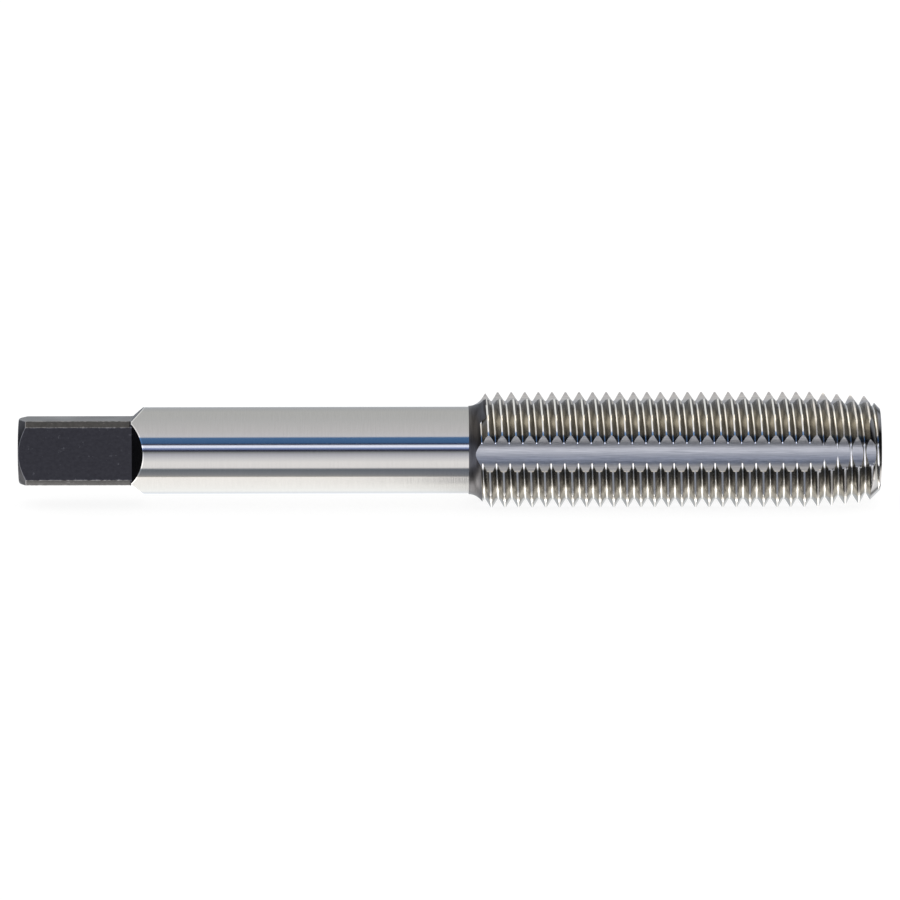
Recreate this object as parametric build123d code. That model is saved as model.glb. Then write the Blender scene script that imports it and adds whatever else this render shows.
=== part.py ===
from build123d import *
import math
import os

os.makedirs("parts", exist_ok=True)

# A straight thread tap in one piece of hardened steel, in millimetres.
# The axis is +X from the drive end to the point, and the tap lies on its thread, +Z up.
# It has as many lands as oil grooves. An angle round the axis starts in the middle of the
# front groove and grows upward: first that groove's wall, then the land above it.

# The body along the axis
overall_length = 80.4
square_length = 10.4
flat_length = 10.6
neck_start = 41.98

# The square drive
square_across_flats = 6.0
square_corner_diameter = 7.76
flat_runout_angle = 45.0
drive_chamfer_length = 0.72
drive_face_diameter = 5.92

# The ground shank, and the neck that flares out to the thread
shank_diameter = 8.13
shank_step_length = 0.15
neck_diameter = 8.26
flare_radius = 1.42
flare_angle = 60.0

# The thread, whose crests and roots fall away from each land's leading edge to its heel
thread_diameter = 11.1
pitch = 1.27
thread_depth = 0.97
thread_angle = 60.0
first_crest = 43.78
crest_drop_middle = 0.27
crest_drop_heel = 0.40
root_drop_middle = 0.06
root_drop_heel = 0.09

# The lead at the point, where crests and roots taper together
lead_length = 6.5
lead_angle = 5.2
point_face_diameter = 7.7
point_chamfer_angle = 45.0

# The oil grooves
land_count = 4
groove_radius = 2.3
groove_depth = 1.27

# The centre holes, one in each end
centre_drill_diameter = 1.6
centre_drill_depth = 2.6
centre_cone_diameter = 2.9
centre_cone_angle = 60.0

# The thread is drawn in facets across each land, and the cutters reach a little past it
crest_facets = 3
root_facets = 4
facet_margin = 1.2
cutter_rise = 0.06
cutter_overlap_angle = 3.0
clear = 1.0

thread_radius = thread_diameter / 2
root_radius = thread_radius - thread_depth
land_step = 360.0 / land_count
groove_centre = thread_radius - groove_depth + groove_radius
lead_start = overall_length - lead_length
lead_slope = math.tan(math.radians(lead_angle))


def section_point(radius, angle):
    """point of the tap's section, across and up from its axis, at this angle from a groove's middle"""
    turn = math.radians(angle)
    return Vector(radius * math.cos(turn), radius * math.sin(turn))


def groove_edge(radius):
    """angle from a groove's middle to where its wall crosses this radius"""
    across = radius**2 + groove_centre**2 - groove_radius**2
    return math.degrees(math.acos(across / (2 * radius * groove_centre)))


heel_radius = thread_radius - crest_drop_heel
leading_edge = groove_edge(thread_radius)
heel_edge = land_step - groove_edge(heel_radius)
land_middle = (leading_edge + heel_edge) / 2


def relief_arc(radius, middle_drop, heel_drop):
    """the arc through a land's leading edge, middle and heel"""
    leading = section_point(radius, leading_edge)
    middle = section_point(radius - middle_drop, land_middle)
    heel = section_point(radius - heel_drop, heel_edge)
    return Edge.make_three_point_arc(leading, middle, heel)


crest_arc = relief_arc(thread_radius, crest_drop_middle, crest_drop_heel)
root_arc = relief_arc(root_radius, root_drop_middle, root_drop_heel)


def arc_reach(arc, angle, drop):
    """distance from the tap's axis to this arc, made smaller by a drop, at this angle"""
    centre = arc.arc_center.rotate(Axis.Z, -angle)
    return centre.X + math.sqrt((arc.radius - drop) ** 2 - centre.Y**2)


def find_resting_turn():
    """how far the front groove faces up when the two land edges of the lower groove are on the floor"""
    leading = section_point(thread_radius, leading_edge)
    heel = section_point(heel_radius, heel_edge - land_step)
    return math.degrees(math.atan2(leading.X - heel.X, leading.Y - heel.Y))


resting_turn = find_resting_turn()


def facet_angles(leading_radius, heel_radius, facets):
    """the angles where the facets of one land meet, the outermost just off the land in its grooves"""
    start = groove_edge(leading_radius) - facet_margin
    end = land_step - groove_edge(heel_radius) + facet_margin
    return [start + (end - start) * i / facets for i in range(facets + 1)]


def on_land(land):
    """the turn that takes a shape drawn for a groove facing +Y, with its land towards -Z, to its place"""
    return Rot(X=180 - resting_turn - land * land_step)


def drop_at(x):
    """how far crests and roots have dropped at this place along the axis"""
    return max(0.0, x - lead_start) * lead_slope


def turned_body():
    """shank, neck and a thread blank left oversize, all turned about the axis"""
    blank_radius = thread_radius + clear
    drive_end = Polyline(
        (0, 0),
        (0, drive_face_diameter / 2),
        (drive_chamfer_length, square_corner_diameter / 2),
        (square_length, square_corner_diameter / 2),
        (square_length + shank_step_length, shank_diameter / 2),
        (neck_start, shank_diameter / 2),
        (neck_start, neck_diameter / 2),
    )
    flare = JernArc(drive_end @ 1, (1, 0), flare_radius, flare_angle)
    flare_top = flare @ 1
    flare_run = (blank_radius - flare_top.Y) / math.tan(math.radians(flare_angle))
    chamfer_rise = blank_radius - point_face_diameter / 2
    chamfer_run = chamfer_rise / math.tan(math.radians(point_chamfer_angle))
    point_end = Polyline(
        flare_top,
        (flare_top.X + flare_run, blank_radius),
        (overall_length - chamfer_run, blank_radius),
        (overall_length, point_face_diameter / 2),
        (overall_length, 0),
        (0, 0),
    )
    return revolve(make_face(drive_end + flare + point_end), Axis.X, 360)


def crest_outline(x):
    """the outline round all the crests at this place along the axis"""
    corners = []
    for land in range(land_count):
        for angle in facet_angles(thread_radius, heel_radius, crest_facets):
            reach = section_point(arc_reach(crest_arc, angle, drop_at(x)), angle)
            corners.append((on_land(land) * Pos(x, reach.X, -reach.Y)).position)
    return Face(Wire.make_polygon(corners, close=True))


def crest_envelope():
    """everything inside the crests, straight up to the lead and then tapering"""
    straight = extrude(crest_outline(-clear), lead_start + clear, dir=(1, 0, 0))
    lead = loft([crest_outline(lead_start), crest_outline(overall_length + clear)], ruled=True)
    return straight + lead


def thread_cutter(land, turn):
    """the space between two threads, across one land and out into the grooves beside it"""
    turns_on = turn + 0.5 - (land * land_step + land_middle - leading_edge) / 360
    x = first_crest + pitch * turns_on
    root = root_arc.radius - drop_at(x)
    height = thread_depth + cutter_rise
    half_mouth = height * math.tan(math.radians(thread_angle / 2))
    centre = root_arc.arc_center
    land_facets = facet_angles(root_radius, root_radius - root_drop_heel, root_facets)
    turns = []
    for angle in (-cutter_overlap_angle, *land_facets, land_step + cutter_overlap_angle):
        spoke = section_point(arc_reach(root_arc, angle, drop_at(x)), angle) - centre
        turns.append(math.degrees(math.atan2(spoke.Y, spoke.X)))
    rails = []
    for aside, rise in ((-half_mouth, height), (0, 0), (half_mouth, height)):
        rail = []
        for angle in turns:
            reach = centre + section_point(root + rise, angle)
            rail.append(Vector(aside, reach.X, -reach.Y))
        rails.append(rail)
    sides = [Face(Wire.make_polygon([rail[i] for rail in rails], close=True)) for i in (0, -1)]
    for near, far in zip(rails, rails[1:] + rails[:1]):
        for i in range(len(turns) - 1):
            corners = [near[i], near[i + 1], far[i + 1], far[i]]
            sides.append(Face(Wire.make_polygon(corners, close=True)))
    middle = section_point(1, land_middle)
    slant = math.degrees(math.atan2(pitch, math.pi * (thread_diameter - thread_depth)))
    ring = Solid(Shell(sides)).rotate(Axis((0, 0, 0), (0, middle.X, -middle.Y)), slant)
    return on_land(land) * (Pos(x, 0, 0) * ring)


def thread_cutters(land):
    """the cutters of every turn of this land, the one nearest the neck on the first land only"""
    first_turn = -1 if land == 0 else 0
    last_turn = math.ceil((overall_length - first_crest) / pitch) + 1
    return [thread_cutter(land, turn) for turn in range(first_turn, last_turn)]


def oil_groove(land):
    """one straight groove of round section, from the neck out through the point"""
    length = overall_length - neck_start + clear
    rod = Cylinder(groove_radius, length, rotation=(0, 90, 0), align=(Align.CENTER, Align.CENTER, Align.MIN))
    return on_land(land) * (Pos(neck_start, groove_centre, 0) * rod)


def drive_flat(land):
    """what is ground away over one flat of the square, with its sloping run-out"""
    flat = square_across_flats / 2
    height = shank_diameter / 2 - flat + clear
    runout = height / math.tan(math.radians(flat_runout_angle))
    side = Polyline(
        (-clear, flat),
        (flat_length, flat),
        (flat_length + runout, flat + height),
        (-clear, flat + height),
        (-clear, flat),
    )
    return on_land(land) * extrude(make_face(side), shank_diameter, both=True)


def centre_hole(face_x, inward):
    """drilled pilot and cone in one end face, for grinding between centres"""
    drill_radius = centre_drill_diameter / 2
    cone_radius = centre_cone_diameter / 2
    cone_slope = math.tan(math.radians(centre_cone_angle / 2))
    cone_depth = (cone_radius - drill_radius) / cone_slope
    tip_depth = centre_drill_depth + drill_radius * cone_slope
    outline = Polyline(
        (face_x, 0),
        (face_x, cone_radius),
        (face_x + inward * cone_depth, drill_radius),
        (face_x + inward * centre_drill_depth, drill_radius),
        (face_x + inward * tip_depth, 0),
        (face_x, 0),
    )
    return revolve(make_face(outline), Axis.X, 360)


def thread_tap():
    """the finished tap"""
    tap = turned_body() & crest_envelope()
    for land in range(land_count):
        tap -= [oil_groove(land), drive_flat(land)]
    for land in range(land_count):
        tap -= thread_cutters(land)
    tap -= [centre_hole(0, 1), centre_hole(overall_length, -1)]
    return tap.solids()[0]


tap = thread_tap()
print("volume", round(tap.volume, 2), "resting turn", round(resting_turn, 3))
print("land from", round(leading_edge, 3), "to", round(heel_edge, 3), "degrees")
export_step(tap, "parts/thread_tap.step")
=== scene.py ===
import math

import bmesh
import bpy
from mathutils import Matrix, Vector


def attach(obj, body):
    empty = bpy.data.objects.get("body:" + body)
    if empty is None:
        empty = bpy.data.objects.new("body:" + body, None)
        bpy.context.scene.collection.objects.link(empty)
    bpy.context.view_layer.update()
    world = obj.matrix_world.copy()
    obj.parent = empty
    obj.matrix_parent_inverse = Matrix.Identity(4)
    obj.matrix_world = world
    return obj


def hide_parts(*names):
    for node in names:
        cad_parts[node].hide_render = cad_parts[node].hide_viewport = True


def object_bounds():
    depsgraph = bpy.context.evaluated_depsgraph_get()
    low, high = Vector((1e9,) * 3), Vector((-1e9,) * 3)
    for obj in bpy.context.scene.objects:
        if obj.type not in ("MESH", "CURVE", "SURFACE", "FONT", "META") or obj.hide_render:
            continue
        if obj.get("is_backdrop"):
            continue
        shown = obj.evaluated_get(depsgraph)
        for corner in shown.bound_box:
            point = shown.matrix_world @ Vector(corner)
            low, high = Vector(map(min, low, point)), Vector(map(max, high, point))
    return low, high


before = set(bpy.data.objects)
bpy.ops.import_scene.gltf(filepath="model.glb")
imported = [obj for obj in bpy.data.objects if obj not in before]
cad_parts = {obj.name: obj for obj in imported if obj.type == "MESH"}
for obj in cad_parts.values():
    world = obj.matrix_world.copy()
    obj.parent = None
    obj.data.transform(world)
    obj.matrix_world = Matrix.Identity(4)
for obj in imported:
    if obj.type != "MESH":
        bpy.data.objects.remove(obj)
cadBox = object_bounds()
mm = 0.001  # every size below is in millimetres, every angle in degrees

# the tap's own sizes; what is round is given by its radius
tapBody = {
    "length": 80.4,
    "squareLength": 10.4,
    "flatLength": 10.6,
    "squareFlat": 3.0,          # half across the flats
    "squareCorner": 3.88,
    "driveFace": 2.96,
    "driveChamfer": 0.72,
    "shank": 4.065,
    "shankStep": 0.15,
    "neckStart": 41.98,
    "neck": 4.13,
    "flareRadius": 1.42,
    "flareAngle": 60.0,
    "flareSteps": 10,
    "blank": 6.5,               # the blank that the thread is cut from
    "pointFace": 3.85,
    "turn": 5.408,              # the front groove faces up by this much as the tap lies
    "segments": 192,
    "sharpAngle": 24.0,         # edges that turn by more than this are drawn sharp
}
thread = {
    "crest": 5.55,
    "root": 4.6,
    "pitch": 1.27,
    "firstCrest": 43.78,
    "firstTurn": -1,            # turns are counted from the first crest
    "lastTurn": 31,
    "nearEnd": -2.0,            # the thread's mesh reaches past both ends of the tap
    "farEnd": 86.0,
    "leadingEdge": 19.593,      # from the middle of a groove
    "landSteps": 17,
    "crestFall": 0.39,          # crests and roots fall away behind each leading edge
    "rootFall": 0.1,
    "fallStart": 6.0,
    "fallSpan": 36.0,
    "fallBack": 12.0,           # they come back this far to each side of a groove's middle
    "rootFlat": 0.055,          # half the flat at the bottom of a valley
    "rootRounding": 0.016,
    "crestFlat": 0.082,         # half the bright line along a crest; beyond it the crest is rounded off
    "crestRound": 25.0,
    "valleyAngle": 56.0,
    "leastValley": 0.02,        # half of what stays of a valley, and of a crest, where it is narrowest
    "leastCrest": 0.012,
    "lastValley": 398.0,        # the first valley by the neck runs out at this turn
    "runOut": 8.0,
    "leadStart": 73.9,
    "leadAngle": 5.2,
}
groove = {
    "radius": 2.3,
    "centre": 6.58,             # from the tap's axis to the middle of the round wall
    "columns": (0, 3, 6, 8.5, 10.5, 12, 13.4, 14.8, 16.1, 17.2, 18.5),
    "columnGap": 0.4,
}
flatCut = {"past": 2.0, "high": 6.0, "wide": 7.0}  # how far the block that takes off a flat reaches
centreHole = {"drill": 0.8, "depth": 2.6, "cone": 1.45, "coneAngle": 60.0, "past": 0.5, "segments": 64}


def ease(share):
    # a smooth rise from 0 to 1
    share = min(max(share, 0.0), 1.0)
    return share ** 3 * (share * (share * 6 - 15) + 10)


def closeIn(low, high, steps, isBelow):
    # halves the stretch again and again, towards the place where the test stops being true
    for step in range(steps):
        middle = (low + high) / 2
        if isBelow(middle):
            low = middle
        else:
            high = middle
    return low


def grooveReach(angle):
    # how far the groove's wall stands from the tap's axis in this direction
    aside = groove["centre"] * math.sin(math.radians(angle))
    if abs(aside) >= groove["radius"]:
        return math.inf
    return groove["centre"] * math.cos(math.radians(angle)) - math.sqrt(groove["radius"] ** 2 - aside ** 2)


def fallShare(angle):
    # 0 at a land's leading edge, 1 at its heel, and back to 0 across the groove
    back = thread["fallBack"]
    if angle < back:
        return 1 - ease((angle + back) / (2 * back))
    if angle > 90 - back:
        return 1 - ease((angle - (90 - back)) / (2 * back))
    return ease((angle - thread["leadingEdge"] - thread["fallStart"]) / thread["fallSpan"])


def crestReach(angle):
    return thread["crest"] - thread["crestFall"] * fallShare(angle)


def rootReach(angle):
    return thread["root"] - thread["rootFall"] * fallShare(angle)


def heelAngle():
    # from the middle of a groove back to the land before it
    def isGroove(angle):
        return grooveReach(angle) < crestReach(90 - angle)

    return closeIn(low=10.0, high=thread["leadingEdge"], steps=40, isBelow=isGroove)


def landColumns():
    # the directions of the mesh columns, closest together where the groove's wall meets the thread
    heel, start, steps = heelAngle(), thread["leadingEdge"], thread["landSteps"]
    across = 90 - heel - start
    rising = [*groove["columns"], start]
    land = [start + across * i / steps for i in range(1, steps)]
    falling = [-heel] + sorted(-a for a in groove["columns"][1:] if a < heel - groove["columnGap"])
    return rising + land + [90 + a for a in falling]


def leadDrop(x):
    return max(0.0, x - thread["leadStart"]) * math.tan(math.radians(thread["leadAngle"]))


def valleyRise(aside, root):
    # the valley's own section: a narrow flat with rounded corners and two straight sides
    half = math.radians(thread["valleyAngle"] / 2)
    rounding = thread["rootRounding"]
    aside = max(0.0, abs(aside) - thread["rootFlat"])
    if aside < rounding * math.cos(half):
        return root + rounding - math.sqrt(rounding ** 2 - aside ** 2)
    return root - rounding * (1 / math.sin(half) - 1) + aside / math.tan(half)


def crestRise(aside, crest):
    # the crest's own section, measured from the valley's middle: a bright line and a rounded shoulder
    line = thread["pitch"] / 2 - thread["crestFlat"]
    return crest - max(0.0, line - abs(aside)) * math.tan(math.radians(thread["crestRound"]))


def findMouth(x, side, crest, root, wall):
    # where a valley's side ends, at the crest's shoulder or at the groove's wall
    def isOpen(aside):
        return valleyRise(aside, root) < min(crestRise(aside, crest), wall + leadDrop(x + side * aside))

    widest = thread["pitch"] / 2 - thread["leastCrest"]
    return closeIn(low=thread["leastValley"], high=widest, steps=18, isBelow=isOpen)


# where a valley is narrow, its points draw together at these shares of its width and keep their order
narrow = {"flat": 0.4, "bend": 0.7, "shoulder": 0.4}


def columnPoints(angle, turns):
    # one column of the thread, from the neck to past the point
    part = angle % 90
    direction = math.radians(angle + tapBody["turn"])
    around = (-math.cos(direction), math.sin(direction))
    wall = grooveReach(part if part < 45 else part - 90)
    crest = crestReach(part)
    halfPitch = thread["pitch"] / 2
    points = []
    for turn in turns:
        x = thread["firstCrest"] + thread["pitch"] * (turn + 0.5 - (angle - thread["leadingEdge"]) / 360)
        filled = ease((angle - 360 * turn - thread["lastValley"]) / thread["runOut"])
        root = rootReach(part) + filled * (crest - rootReach(part))
        halves = []
        for side in (-1, 1):
            mouth = findMouth(x, side, crest, root, wall)
            flat = min(thread["rootFlat"], mouth * narrow["flat"])
            bend = min(thread["rootFlat"] + thread["rootRounding"], mouth * narrow["bend"])
            shoulder = mouth + (halfPitch - mouth) * narrow["shoulder"]
            shoulder = max(halfPitch - thread["crestFlat"], shoulder)
            halves.append([side * s for s in (flat, (flat + bend) / 2, bend, mouth, shoulder)])
        for s in [-halfPitch, *halves[0][::-1], *halves[1]]:
            reach = min(crestRise(s, crest), valleyRise(s, root)) - leadDrop(x + s)
            reach = min(reach, wall)
            points.append((x + s, around[0] * reach, around[1] * reach))
    return points


def threadMesh():
    # the threaded end as one closed mesh, with its seam in the middle of the rear groove
    turns = range(thread["firstTurn"], thread["lastTurn"] + 1)
    columns = [columnPoints(180 + 90 * land + a, turns) for land in range(4) for a in landColumns()]
    rows = len(columns[0])
    perPitch = rows // len(turns)
    mesh = bmesh.new()
    grid = [[mesh.verts.new(p) for p in column] for column in columns]
    near = [mesh.verts.new((thread["nearEnd"], c[0][1], c[0][2])) for c in columns]
    far = [mesh.verts.new((thread["farEnd"], c[-1][1], c[-1][2])) for c in columns]
    for j in range(len(columns) - 1):
        for i in range(rows - 1):
            mesh.faces.new((grid[j][i], grid[j][i + 1], grid[j + 1][i + 1], grid[j + 1][i]))
        mesh.faces.new((near[j], grid[j][0], grid[j + 1][0], near[j + 1]))
        mesh.faces.new((grid[j][-1], far[j], far[j + 1], grid[j + 1][-1]))
    # the last column meets the first one pitch further on
    last, first = grid[-1], grid[0]
    for i in range(perPitch, rows - 1):
        mesh.faces.new((last[i], last[i + 1], first[i + 1 - perPitch], first[i - perPitch]))
    mesh.faces.new([near[-1], *last[:perPitch + 1], first[0], near[0]])
    mesh.faces.new([last[-1], far[-1], far[0], *reversed(first[rows - 1 - perPitch:])])
    mesh.faces.new(near)
    mesh.faces.new(list(reversed(far)))
    return mesh


def turned(outline, segments):
    # a closed shape turned about the tap's axis from its outline, which starts and ends on the axis
    mesh = bmesh.new()
    ends = [mesh.verts.new((outline[0][0], 0, 0)), mesh.verts.new((outline[-1][0], 0, 0))]
    rings = []
    for x, radius in outline[1:-1]:
        ring = []
        for s in range(segments):
            a = 2 * math.pi * (s + 0.5) / segments
            ring.append(mesh.verts.new((x, -radius * math.cos(a), radius * math.sin(a))))
        rings.append(ring)
    for s in range(segments):
        t = (s + 1) % segments
        mesh.faces.new((ends[0], rings[0][s], rings[0][t]))
        for near, far in zip(rings, rings[1:]):
            mesh.faces.new((near[s], far[s], far[t], near[t]))
        mesh.faces.new((rings[-1][s], ends[1], rings[-1][t]))
    return mesh


def bodyOutline():
    # the square's corners, the shank, the neck's flare, the blank for the thread and the point's chamfer
    b = tapBody
    outline = [(0, 0), (0, b["driveFace"]), (b["driveChamfer"], b["squareCorner"])]
    outline += [(b["squareLength"], b["squareCorner"]), (b["squareLength"] + b["shankStep"], b["shank"])]
    outline += [(b["neckStart"], b["shank"]), (b["neckStart"], b["neck"])]
    bend = math.radians(b["flareAngle"])
    for i in range(1, b["flareSteps"] + 1):
        a = bend * i / b["flareSteps"]
        x = b["neckStart"] + b["flareRadius"] * math.sin(a)
        outline.append((x, b["neck"] + b["flareRadius"] * (1 - math.cos(a))))
    x, radius = outline[-1]
    outline.append((x + (b["blank"] - radius) / math.tan(bend), b["blank"]))
    outline.append((b["length"] - (b["blank"] - b["pointFace"]), b["blank"]))
    return outline + [(b["length"], b["pointFace"]), (b["length"], 0)]


def flatCutter(land):
    # what is ground off over one flat, with its sloping run-out
    b, past, high = tapBody, flatCut["past"], flatCut["high"]
    side = [(-past, b["squareFlat"]), (b["flatLength"], b["squareFlat"])]
    side += [(b["flatLength"] + high - b["squareFlat"], high), (-past, high)]
    a = math.radians(b["turn"] + 90 * land)
    out, along = Vector((0, -math.cos(a), math.sin(a))), Vector((0, math.sin(a), math.cos(a)))
    mesh = bmesh.new()
    rings = []
    for w in (-flatCut["wide"], flatCut["wide"]):
        rings.append([mesh.verts.new(Vector((x, 0, 0)) + out * y + along * w) for x, y in side])
    mesh.faces.new(rings[0])
    mesh.faces.new(list(reversed(rings[1])))
    for i in range(4):
        k = (i + 1) % 4
        mesh.faces.new((rings[0][i], rings[1][i], rings[1][k], rings[0][k]))
    return mesh


def holeCutter(faceX, inward):
    # a cone and a drilled pilot, given by depth and radius from outside the end face inward
    h = centreHole
    slope = math.tan(math.radians(h["coneAngle"] / 2))
    steps = [(-h["past"], 0), (-h["past"], h["cone"] + slope * h["past"])]
    steps += [((h["cone"] - h["drill"]) / slope, h["drill"]), (h["depth"], h["drill"])]
    steps += [(h["depth"] + h["drill"] * slope, 0)]
    outline = [(faceX + inward * depth, radius) for depth, radius in steps]
    if inward < 0:
        outline.reverse()
    return turned(outline, h["segments"])


def makeObject(name, mesh):
    bmesh.ops.recalc_face_normals(mesh, faces=mesh.faces[:])
    data = bpy.data.meshes.new(name)
    mesh.to_mesh(data)
    mesh.free()
    made = bpy.data.objects.new(name, data)
    bpy.context.scene.collection.objects.link(made)
    return made


def cut(target, tools, operation):
    # cuts the tools off or keeps what is common, then leaves only the finished mesh
    for tool in tools:
        step = target.modifiers.new("cut", "BOOLEAN")
        step.operation = operation
        step.solver = "MANIFOLD"
        step.object = tool
    graph = bpy.context.evaluated_depsgraph_get()
    done = bpy.data.meshes.new_from_object(target.evaluated_get(graph))
    target.modifiers.clear()
    target.data = done
    for tool in tools:
        bpy.data.objects.remove(tool)


def makeTap():
    tap = makeObject("tap_steel", threadMesh())
    cut(tap, [makeObject("blank", turned(bodyOutline(), tapBody["segments"]))], "INTERSECT")
    cut(tap, [makeObject("flat%d" % land, flatCutter(land)) for land in range(4)], "DIFFERENCE")
    ends = [(0, 1), (tapBody["length"], -1)]
    cut(tap, [makeObject("hole", holeCutter(faceX, inward)) for faceX, inward in ends], "DIFFERENCE")
    tap.data.transform(Matrix.Scale(mm, 4))
    return tap


tap = makeTap()
triangles = sum(len(p.vertices) - 2 for p in tap.data.polygons)
print("tap:", len(tap.data.vertices), "points,", triangles, "triangles")


def addNode(tree, kind, **values):
    node = tree.nodes.new(kind)
    for name, value in values.items():
        setattr(node, name, value)
    return node


def mathNode(tree, operation, *inputs):
    node = addNode(tree, "ShaderNodeMath", operation=operation)
    for place, value in enumerate(inputs):
        if isinstance(value, (int, float)):
            node.inputs[place].default_value = value
        else:
            tree.links.new(value, node.inputs[place])
    return node.outputs[0]


def reachNode(tree, y, z):
    # how far a point stands from the tap's axis
    squares = mathNode(tree, "ADD", mathNode(tree, "MULTIPLY", y, y), mathNode(tree, "MULTIPLY", z, z))
    return mathNode(tree, "SQRT", squares)


def newGroup(name, inputs, outputs):
    tree = bpy.data.node_groups.new(name, "ShaderNodeTree")
    for label, start in inputs:
        socket = tree.interface.new_socket(label, in_out="INPUT", socket_type="NodeSocketFloat")
        socket.default_value = start
    for label in outputs:
        tree.interface.new_socket(label, in_out="OUTPUT", socket_type="NodeSocketFloat")
    return tree, tree.nodes.new("NodeGroupInput"), tree.nodes.new("NodeGroupOutput")


grinding = {"reach": 4.5, "roughness": 0.6, "cloudScale": 300.0, "cloudDetail": 3.0}


def buildGrinding():
    # fine wheel marks: thin lines whose spacing along the axis and round it are set apart
    inputs = [("Along", 20.0), ("Round", 1.0), ("Detail", 3.0)]
    tree, given, made = newGroup("wheelMarks", inputs, ["Marks", "Clouds"])
    where = addNode(tree, "ShaderNodeTexCoord")
    parts = addNode(tree, "ShaderNodeSeparateXYZ")
    tree.links.new(where.outputs["Object"], parts.inputs[0])
    x, y, z = parts.outputs
    turn = mathNode(tree, "ARCTAN2", z, mathNode(tree, "MULTIPLY", y, -1.0))
    vector = addNode(tree, "ShaderNodeCombineXYZ")
    # along the axis, round it and out from it, each in millimetres before its spacing
    directions = [(x, 1 / mm, "Along"), (turn, grinding["reach"], "Round")]
    directions += [(reachNode(tree, y, z), 1 / mm, "Round")]
    for place, (value, size, label) in enumerate(directions):
        spaced = mathNode(tree, "MULTIPLY", mathNode(tree, "MULTIPLY", value, size), given.outputs[label])
        tree.links.new(spaced, vector.inputs[place])
    marks = addNode(tree, "ShaderNodeTexNoise")
    marks.inputs["Scale"].default_value = 1.0
    marks.inputs["Roughness"].default_value = grinding["roughness"]
    tree.links.new(vector.outputs[0], marks.inputs["Vector"])
    tree.links.new(given.outputs["Detail"], marks.inputs["Detail"])
    tree.links.new(marks.outputs["Fac"], made.inputs["Marks"])
    clouds = addNode(tree, "ShaderNodeTexNoise")
    clouds.inputs["Scale"].default_value = grinding["cloudScale"]
    clouds.inputs["Detail"].default_value = grinding["cloudDetail"]
    tree.links.new(where.outputs["Object"], clouds.inputs["Vector"])
    tree.links.new(clouds.outputs["Fac"], made.inputs["Clouds"])
    return tree


wheelMarks = buildGrinding()


def nearness(tree, distance, width):
    # 1 on a surface, falling to 0 at this width from it
    fade = addNode(tree, "ShaderNodeMapRange", interpolation_type="SMOOTHSTEP")
    fade.inputs["From Min"].default_value = 0.0
    tree.links.new(width, fade.inputs["From Max"])
    fade.inputs["To Min"].default_value, fade.inputs["To Max"].default_value = 1.0, 0.0
    tree.links.new(mathNode(tree, "ABSOLUTE", distance), fade.inputs["Value"])
    return fade.outputs[0]


# the shape of the bright edge mask: patches of wear, and a painted highlight along the edges
edgeMaskShape = {
    "chamferSlant": 0.62,       # from a distance out from the axis to one square to the chamfer
    "runOutSlant": 0.71,
    "patchScale": 2.2,
    "patchDetail": 4.0,
    "patchStart": 0.35,
    "patchLoss": 2.0,
    "chamferSpared": 0.9,       # how much less of the wear is missing round the chamfer
}


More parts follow.
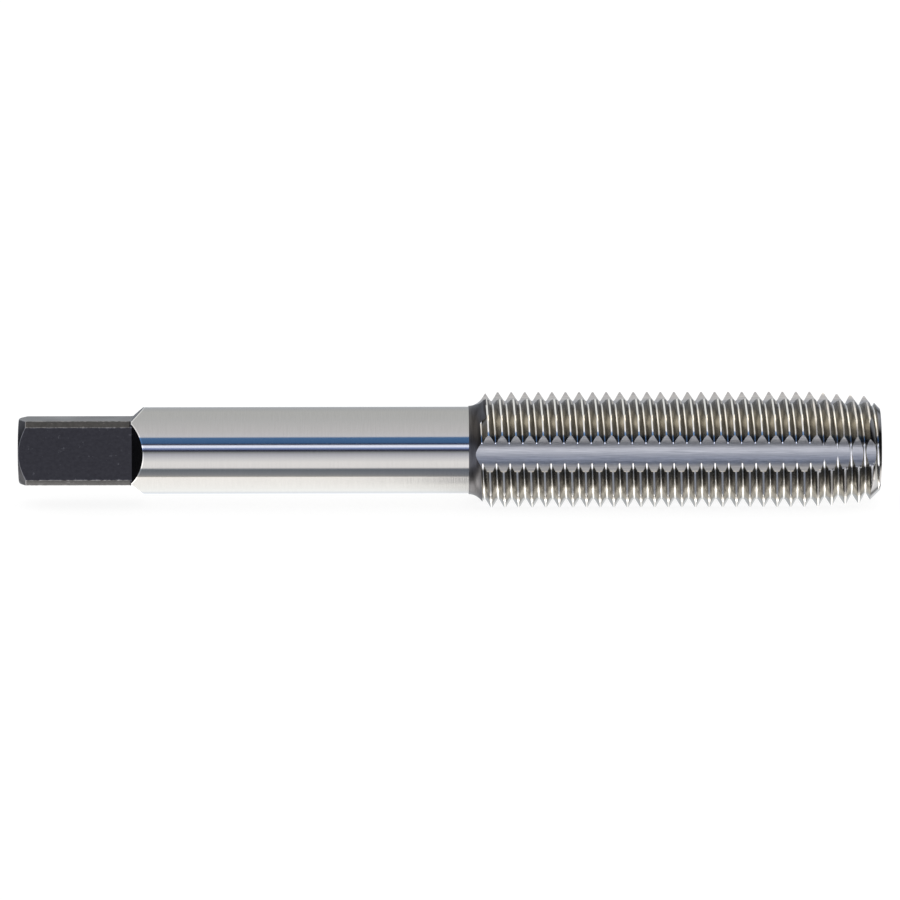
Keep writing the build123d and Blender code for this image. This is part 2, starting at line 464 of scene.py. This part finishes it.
def buildWornEdges():
    # bright where two faces of the drive end meet, partly steel worn bare and partly a painted highlight of
    # the edges' rounding; found from how near a point lies to each face
    tree, given, made = newGroup("edgeWearAndGlint", [("Width", 0.1), ("Patchy", 0.5)], ["Worn"])
    b, width = tapBody, given.outputs["Width"]
    where = addNode(tree, "ShaderNodeTexCoord")
    big = addNode(tree, "ShaderNodeVectorMath", operation="SCALE")
    big.inputs["Scale"].default_value = 1 / mm
    tree.links.new(where.outputs["Object"], big.inputs[0])
    turn = addNode(tree, "ShaderNodeVectorRotate", rotation_type="X_AXIS")
    turn.inputs["Angle"].default_value = math.radians(b["turn"])
    tree.links.new(big.outputs[0], turn.inputs["Vector"])
    parts = addNode(tree, "ShaderNodeSeparateXYZ")
    tree.links.new(turn.outputs[0], parts.inputs[0])
    x, y, z = parts.outputs
    reach = reachNode(tree, y, z)
    flat = mathNode(tree, "MAXIMUM", mathNode(tree, "ABSOLUTE", y), mathNode(tree, "ABSOLUTE", z))
    beyond = mathNode(tree, "SUBTRACT", x, b["flatLength"])
    faces = []
    for value, size in ((flat, b["squareFlat"]), (reach, b["squareCorner"])):
        gap = mathNode(tree, "ABSOLUTE", mathNode(tree, "SUBTRACT", value, size))
        faces.append(mathNode(tree, "MAXIMUM", gap, beyond))
    slope = (b["squareCorner"] - b["driveFace"]) / b["driveChamfer"]
    cone = mathNode(tree, "SUBTRACT", reach, b["driveFace"])
    cone = mathNode(tree, "SUBTRACT", cone, mathNode(tree, "MULTIPLY", x, slope))
    faces += [mathNode(tree, "MULTIPLY", cone, edgeMaskShape["chamferSlant"]), x]
    near = [nearness(tree, face, width) for face in faces]
    total = near[0]
    for more in near[1:]:
        total = mathNode(tree, "ADD", total, more)
    corner = mathNode(tree, "SUBTRACT", total, 1.0)
    corner.node.use_clamp = True
    onShank = nearness(tree, mathNode(tree, "SUBTRACT", reach, b["shank"]), width)
    runOut = mathNode(tree, "SUBTRACT", x, flat)
    runOut = mathNode(tree, "SUBTRACT", runOut, b["flatLength"] - b["squareFlat"])
    onRunOut = nearness(tree, mathNode(tree, "MULTIPLY", runOut, edgeMaskShape["runOutSlant"]), width)
    edge = mathNode(tree, "MULTIPLY_ADD", onShank, onRunOut, corner)
    patches = addNode(tree, "ShaderNodeTexNoise")
    patches.inputs["Scale"].default_value = edgeMaskShape["patchScale"]
    patches.inputs["Detail"].default_value = edgeMaskShape["patchDetail"]
    tree.links.new(big.outputs[0], patches.inputs["Vector"])
    loss = mathNode(tree, "SUBTRACT", patches.outputs["Fac"], edgeMaskShape["patchStart"])
    loss = mathNode(tree, "MULTIPLY", loss, given.outputs["Patchy"])
    kept = mathNode(tree, "MULTIPLY_ADD", near[2], -edgeMaskShape["chamferSpared"], 1.0)
    loss = mathNode(tree, "MULTIPLY", loss, kept)
    wearAndGlint = mathNode(tree, "SUBTRACT", edge, mathNode(tree, "MULTIPLY", loss, edgeMaskShape["patchLoss"]))
    wearAndGlint.node.use_clamp = True
    tree.links.new(wearAndGlint, made.inputs["Worn"])
    return tree


edgeWearAndGlint = buildWornEdges()


def steelMaterial(name, look):
    # one finish of the steel: its colour and gloss vary a little with the marks of the wheel
    material = bpy.data.materials.new(name)
    material.use_nodes = True
    tree = material.node_tree
    shader = tree.nodes["Principled BSDF"]
    shader.inputs["Metallic"].default_value = 1.0
    marks = addNode(tree, "ShaderNodeGroup", node_tree=wheelMarks)
    for label in ("Along", "Round", "Detail"):
        marks.inputs[label].default_value = look[label]
    colour = addNode(tree, "ShaderNodeMix", data_type="RGBA")
    colour.inputs["A"].default_value = (*look["dark"], 1)
    colour.inputs["B"].default_value = (*look["light"], 1)
    tree.links.new(marks.outputs["Marks"], colour.inputs["Factor"])
    finish = colour.outputs["Result"]
    # edges turn to bare steel with a painted highlight on top, by the edge mask
    if "wearAndGlint" in look:
        edges = addNode(tree, "ShaderNodeGroup", node_tree=edgeWearAndGlint)
        edges.inputs["Width"].default_value = look["wearAndGlint"]
        edges.inputs["Patchy"].default_value = look["patchy"]
        bareAndGlint = addNode(tree, "ShaderNodeMix", data_type="RGBA")
        bareAndGlint.inputs["B"].default_value = (*look["bareAndGlint"], 1)
        tree.links.new(finish, bareAndGlint.inputs["A"])
        tree.links.new(edges.outputs["Worn"], bareAndGlint.inputs["Factor"])
        finish = bareAndGlint.outputs["Result"]
    tree.links.new(finish, shader.inputs["Base Color"])
    gloss = addNode(tree, "ShaderNodeMapRange")
    gloss.inputs["To Min"].default_value, gloss.inputs["To Max"].default_value = look["gloss"]
    tree.links.new(marks.outputs["Clouds"], gloss.inputs["Value"])
    tree.links.new(gloss.outputs[0], shader.inputs["Roughness"])
    bump = addNode(tree, "ShaderNodeBump")
    bump.inputs["Strength"].default_value = 1.0
    bump.inputs["Distance"].default_value = look["bump"] * mm
    tree.links.new(marks.outputs["Marks"], bump.inputs["Height"])
    tree.links.new(bump.outputs[0], shader.inputs["Normal"])
    return material


finishes = {
    "shank": {
        "Along": 9.0, "Round": 0.5, "Detail": 4.0,
        "dark": (0.49, 0.49, 0.495), "light": (0.56, 0.56, 0.565), "gloss": (0.06, 0.11), "bump": 0.0006,
        # the shank's edge along the flats' run-outs is painted white, a painted highlight of its rounding
        "wearAndGlint": 0.12, "patchy": 0.1, "bareAndGlint": (1.0, 1.0, 1.0),
    },
    # crests and valley bottoms: a base colour brighter than the steel's own, partly their ground finish and
    # partly a painted highlight along the lines
    "crest": {
        "Along": 14.0, "Round": 1.2, "Detail": 3.0,
        "dark": (0.93, 0.93, 0.93), "light": (1.0, 1.0, 1.0), "gloss": (0.08, 0.14), "bump": 0.001,
    },
    # the lead's crests: likewise brighter than the steel, partly a painted highlight
    "lead": {
        "Along": 14.0, "Round": 1.2, "Detail": 3.0,
        "dark": (0.8, 0.8, 0.8), "light": (1.0, 1.0, 1.0), "gloss": (0.34, 0.42), "bump": 0.002,
    },
    "flank": {
        "Along": 10.0, "Round": 0.7, "Detail": 5.0,
        "dark": (0.185, 0.178, 0.16), "light": (0.69, 0.68, 0.65), "gloss": (0.10, 0.18), "bump": 0.003,
    },
    "groove": {
        "Along": 0.35, "Round": 14.0, "Detail": 5.0,
        "dark": (0.2, 0.215, 0.26), "light": (0.86, 0.875, 0.92), "gloss": (0.31, 0.39), "bump": 0.004,
    },
    "point": {
        "Along": 9.0, "Round": 0.6, "Detail": 4.0,
        "dark": (0.37, 0.365, 0.37), "light": (0.54, 0.535, 0.54), "gloss": (0.08, 0.14), "bump": 0.001,
    },
    "neck": {
        "Along": 9.0, "Round": 0.8, "Detail": 4.0,
        "dark": (0.07, 0.07, 0.078), "light": (0.2, 0.2, 0.215), "gloss": (0.28, 0.42), "bump": 0.002,
    },
    "square": {
        "Along": 3.0, "Round": 3.0, "Detail": 5.0,
        "dark": (0.036, 0.035, 0.042), "light": (0.075, 0.074, 0.085), "gloss": (0.24, 0.38), "bump": 0.002,
        # the black oxide's edges show steel worn bare, brightened further as a painted highlight
        "wearAndGlint": 0.085, "patchy": 1.6, "bareAndGlint": (0.28, 0.28, 0.3),
    },
    "corner": {
        "Along": 3.0, "Round": 3.0, "Detail": 5.0,
        "dark": (0.058, 0.058, 0.061), "light": (0.13, 0.13, 0.135), "gloss": (0.24, 0.38), "bump": 0.002,
        # the corners' edges likewise: worn bare steel with a painted highlight
        "wearAndGlint": 0.085, "patchy": 1.6, "bareAndGlint": (0.4, 0.4, 0.42),
    },
}
# a face is part of a form when all its points lie this near to the form's own surface
nearForm = {
    "shank": 0.004, "corner": 0.01, "neckStep": 0.01, "flare": 0.015,
    "groove": 0.02, "chamfer": 0.02, "root": 0.06,
}
# where some finishes end: along the axis from the form that they go with, and out from the axis
finishEnds = {"square": 3.0, "neck": 1.62, "neckReach": 4.95, "hole": 3.2, "holeReach": 1.5}
# how far a face may lean along the axis, from 0 for one that runs along it to 1 for an end face
lean = {"shank": 0.2, "corner": 0.1, "neck": 0.3, "crest": 0.25, "root": 0.5, "endFace": 0.99}


def flareReach(x):
    # the neck's outline: an arc, then a straight slope out to the thread
    b = tapBody
    bend = math.radians(b["flareAngle"])
    run = min(max(0.0, x - b["neckStart"]), b["flareRadius"] * math.sin(bend))
    arc = b["neck"] + b["flareRadius"] - math.sqrt(b["flareRadius"] ** 2 - run ** 2)
    return arc + max(0.0, x - b["neckStart"] - run) * math.tan(bend)


def grooveGap(point):
    # how far a point lies from the wall of the nearest groove
    gaps = []
    for land in range(4):
        a = math.radians(tapBody["turn"] + 90 * land)
        y, z = -groove["centre"] * math.cos(a), groove["centre"] * math.sin(a)
        gaps.append(math.hypot(point[1] - y, point[2] - z) - groove["radius"])
    return min(gaps)


def allNear(gaps, most):
    return all(abs(gap) < most for gap in gaps)


def finishFor(points, normal):
    # which finish a face of the tap has, told from where it lies and how it leans
    b, leaning = tapBody, abs(normal.x)
    x = sum(p[0] for p in points) / len(points)
    radii = [math.hypot(p[1], p[2]) for p in points]
    onShank = allNear([r - b["shank"] for r in radii], nearForm["shank"])
    if onShank and leaning < lean["shank"] and x < b["neckStart"]:
        return "shank"
    if x < b["squareLength"] + finishEnds["square"]:
        onCorner = allNear([r - b["squareCorner"] for r in radii], nearForm["corner"])
        return "corner" if onCorner and leaning < lean["corner"] else "square"
    pastStep = min(p[0] for p in points) > b["neckStart"] - nearForm["neckStep"]
    if pastStep and allNear([r - flareReach(p[0]) for r, p in zip(radii, points)], nearForm["flare"]):
        return "neck"
    if leaning > lean["endFace"] and x < b["neckStart"] + nearForm["neckStep"]:
        return "neck"
    inGroove = allNear([grooveGap(p) for p in points], nearForm["groove"])
    byNeck = x < b["neckStart"] + finishEnds["neck"] and min(radii) > finishEnds["neckReach"]
    if byNeck and normal.x < lean["neck"] and not inGroove:
        return "neck"
    pointGaps = [p[0] + r - b["length"] - b["pointFace"] for r, p in zip(radii, points)]
    if allNear(pointGaps, nearForm["chamfer"]) or normal.x > lean["endFace"]:
        return "point"
    if x > b["length"] - finishEnds["hole"] and max(radii) < finishEnds["holeReach"]:
        return "point"
    if inGroove:
        return "groove"
    isRoot = max(radii) < thread["root"] + nearForm["root"] - leadDrop(x)
    if not isRoot and x > thread["leadStart"] and leaning < lean["crest"]:
        return "lead"
    return "crest" if leaning < lean["root" if isRoot else "crest"] else "flank"


def dressTap():
    tap.data.materials.clear()
    names = list(finishes)
    for name in names:
        tap.data.materials.append(steelMaterial(name + "Steel", finishes[name]))
    for face in tap.data.polygons:
        points = [tap.data.vertices[v].co / mm for v in face.vertices]
        face.material_index = names.index(finishFor(points, face.normal))
    tap.data.shade_smooth()
    tap.data.set_sharp_from_angle(angle=math.radians(tapBody["sharpAngle"]))


dressTap()
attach(tap, "root")
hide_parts("thread_tap")
print("finishes:", ", ".join(finishes))

sheet = {"half": 3.0, "height": -0.00505, "grey": 0.16, "glow": 0.88}  # a white sheet, in metres
floorMesh = bpy.data.meshes.new("floor")
corners = [(-1, -1), (1, -1), (1, 1), (-1, 1)]
floorPoints = [(sheet["half"] * x, sheet["half"] * y, sheet["height"]) for x, y in corners]
floorMesh.from_pydata(floorPoints, [], [(0, 1, 2, 3)])
floor = bpy.data.objects.new("floor", floorMesh)
bpy.context.scene.collection.objects.link(floor)
floor.visible_glossy = False
paper = bpy.data.materials.new("paper")
paper.use_nodes = True
paperShader = paper.node_tree.nodes["Principled BSDF"]
paperShader.inputs["Base Color"].default_value = (sheet["grey"], sheet["grey"], sheet["grey"], 1)
paperShader.inputs["Roughness"].default_value = 1.0
paperShader.inputs["Emission Color"].default_value = (1, 1, 1, 1)
paperShader.inputs["Emission Strength"].default_value = sheet["glow"]
floorMesh.materials.append(paper)
floor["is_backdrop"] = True

# the room: what the steel reflects, given by how far up from the front a ray looks
room = [
    (-180, (200, 204, 208)), (-140, (206, 209, 212)), (-125, (236, 236, 232)), (-69, (240, 236, 230)),
    (-66, (250, 244, 236)), (-64.5, (150, 148, 143)), (-57, (124, 125, 128)), (-44, (99, 104, 109)),
    (-40.5, (110, 114, 120)), (-37, (215, 212, 210)), (-22, (217, 214, 211)), (-11, (194, 193, 194)),
    (0, (160, 160, 167)), (5, (124, 126, 124)), (8, (46, 46, 60)), (11.5, (45, 47, 63)),
    (14, (110, 125, 165)), (16.5, (125, 138, 175)), (18, (225, 230, 246)), (23, (224, 228, 244)),
    (25, (42, 43, 59)), (27.5, (42, 43, 59)), (29, (58, 87, 124)), (44.5, (70, 103, 142)),
    (46, (188, 187, 190)), (60, (183, 181, 180)), (98, (172, 172, 170)), (132, (168, 168, 165)),
    (160, (150, 152, 154)),
]
# a little to the right, where the lines along the thread's crests and valley bottoms look
lineRoom = [stop for stop in room if stop[0] > -40] + [
    (-41, (84, 88, 98)), (-50, (94, 98, 108)), (-80, (86, 89, 95)), (-86, (104, 106, 108)),
    (-92, (150, 148, 145)), (-98, (178, 176, 172)), (-180, (190, 190, 190)),
]
# further to the left and to the right, where the two sides of each valley look: first what both share
sideRoom = [
    (-116, (160, 157, 152)), (-102, (200, 196, 190)), (-92, (194, 190, 184)), (-84, (124, 120, 114)),
    (-76, (60, 57, 54)), (-70, (40, 39, 38)), (-50, (24, 24, 25)), (-39, (24, 24, 25)),
    (-31, (146, 147, 152)), (-12, (108, 109, 114)), (12, (92, 94, 99)), (21, (94, 96, 101)),
    (26, (8, 8, 12)),
]
leftRoom = sideRoom + [
    (-180, (90, 92, 96)), (-160, (100, 102, 104)), (-140, (118, 118, 118)),
    (42, (8, 8, 12)), (52, (88, 84, 78)), (98, (90, 86, 79)), (128, (78, 78, 79)),
    (165, (82, 84, 88)),
]
rightRoom = sideRoom + [
    (-180, (104, 104, 106)), (-160, (118, 119, 120)), (-136, (138, 137, 136)),
    (42, (10, 11, 16)), (48, (78, 75, 70)), (68, (90, 86, 80)), (92, (156, 149, 137)),
    (112, (148, 143, 134)), (130, (80, 80, 82)), (165, (78, 80, 84)),
]
# how much of the line, left and right rooms is seen at each place along the tap's axis, -1 to 1
places = [
    (-0.09, (0, 1, 0)), (-0.07, (0, 0, 0)), (0.0128, (0, 0, 0)), (0.0142, (1, 0, 0)),
    (0.08, (1, 0, 0)), (0.1, (0, 0, 1)),
]
# how bright the rooms are at each place along the axis: dark at both ends and in a band to each side
dimmed = [
    (-0.98, (0.02, 0.02, 0.02)), (-0.88, (0.5, 0.5, 0.5)), (-0.72, (1.25, 1.25, 1.25)),
    (-0.58, (1.1, 1.1, 1.1)), (-0.5, (0.2, 0.19, 0.18)), (-0.36, (1, 1, 1)),
    (0.36, (1, 1, 1)), (0.5, (0.16, 0.16, 0.155)), (0.58, (1.0, 1.0, 1.0)),
    (0.7, (1.15, 1.15, 1.15)), (0.84, (0.8, 0.8, 0.8)), (0.92, (0.02, 0.02, 0.02)),
]
# the rooms are turned a little round the tap's axis, and all other light has one grey
roomLight = {"gain": 1.9, "sideGain": 4.9, "turn": 1.0, "plain": 0.95}


def linear(values, gain):
    # from a screen's own colour values to an amount of light
    return tuple(gain * ((v / 255 + 0.055) / 1.055) ** 2.4 for v in values)


def addRamp(tree, stops, source):
    # a row of colours by place, which runs from 0 to 1
    ramp = addNode(tree, "ShaderNodeValToRGB")
    elements = ramp.color_ramp.elements
    elements.remove(elements[0])
    for count, (spot, colour) in enumerate(sorted(stops)):
        stop = elements[0] if count == 0 else elements.new(spot)
        stop.position = spot
        stop.color = (*colour, 1)
    tree.links.new(source, ramp.inputs[0])
    return ramp.outputs[0]


def addMix(tree, blend, share, first, second):
    mixer = addNode(tree, "ShaderNodeMix", data_type="RGBA", blend_type=blend)
    if isinstance(share, float):
        mixer.inputs["Factor"].default_value = share
    else:
        tree.links.new(share, mixer.inputs["Factor"])
    tree.links.new(first, mixer.inputs["A"])
    tree.links.new(second, mixer.inputs["B"])
    return mixer.outputs["Result"]


def addRoom(tree, stops, gain, source):
    return addRamp(tree, [(degrees / 360 + 0.5, linear(colour, gain)) for degrees, colour in stops], source)


def addAlong(tree, stops, source):
    return addRamp(tree, [(x / 2 + 0.5, colour) for x, colour in stops], source)


world = bpy.data.worlds.new("room")
bpy.context.scene.world = world
world.use_nodes = True
tree = world.node_tree
background = tree.nodes["Background"]
where = addNode(tree, "ShaderNodeTexCoord")
parts = addNode(tree, "ShaderNodeSeparateXYZ")
tree.links.new(where.outputs["Generated"], parts.inputs[0])
x, y, z = parts.outputs
rise = mathNode(tree, "ARCTAN2", z, mathNode(tree, "MULTIPLY", y, -1.0))
# where a ray looks, round the tap's axis and along it, each from 0 to 1
share = mathNode(tree, "DIVIDE", rise, 2 * math.pi)
roundPlace = mathNode(tree, "ADD", share, 0.5 - roomLight["turn"] / 360)
alongPlace = mathNode(tree, "MULTIPLY_ADD", x, 0.5, 0.5)
weights = addNode(tree, "ShaderNodeSeparateColor")
tree.links.new(addAlong(tree, places, alongPlace), weights.inputs[0])
glow = addRoom(tree, room, roomLight["gain"], roundPlace)
sides = [(lineRoom, roomLight["gain"])]
sides += [(leftRoom, roomLight["sideGain"]), (rightRoom, roomLight["sideGain"])]
for weight, (stops, gain) in zip(weights.outputs, sides):
    glow = addMix(tree, "MIX", weight, glow, addRoom(tree, stops, gain, roundPlace))
glow = addMix(tree, "MULTIPLY", 1.0, glow, addAlong(tree, dimmed, alongPlace))
path = addNode(tree, "ShaderNodeLightPath")
seen = addNode(tree, "ShaderNodeMix", data_type="RGBA")
seen.inputs["A"].default_value = (roomLight["plain"], roomLight["plain"], roomLight["plain"], 1)
tree.links.new(glow, seen.inputs["B"])
tree.links.new(path.outputs["Is Glossy Ray"], seen.inputs["Factor"])
tree.links.new(seen.outputs["Result"], background.inputs["Color"])
background.inputs["Strength"].default_value = 1.0
print("room and floor ready")

view = {
    "lens": 300.0, "sensor": 36.0, "distance": 701.0, "elevation": 11.3,
    "eyeX": 33.6, "aimX": 40.25, "aimZ": 0.0, "clipMetres": (0.01, 10),
}
camera = bpy.data.objects.new("camera", bpy.data.cameras.new("camera"))
bpy.context.scene.collection.objects.link(camera)
camera.data.lens = view["lens"]
camera.data.sensor_width = view["sensor"]
tilt = math.radians(view["elevation"])
eye = Vector((view["eyeX"], -view["distance"] * math.cos(tilt), view["distance"] * math.sin(tilt))) * mm
aim = Vector((view["aimX"], 0, view["aimZ"])) * mm
camera.location = eye
camera.rotation_mode = "QUATERNION"
camera.rotation_quaternion = (aim - eye).to_track_quat("-Z", "Y")
camera.data.clip_start, camera.data.clip_end = view["clipMetres"]
bpy.context.scene.camera = camera
bpy.context.scene.view_settings.view_transform = "Standard"

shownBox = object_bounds()
for label, box in (("cad", cadBox), ("shown", shownBox)):
    print(label, "box", [round(v / mm, 2) for p in box for v in p])
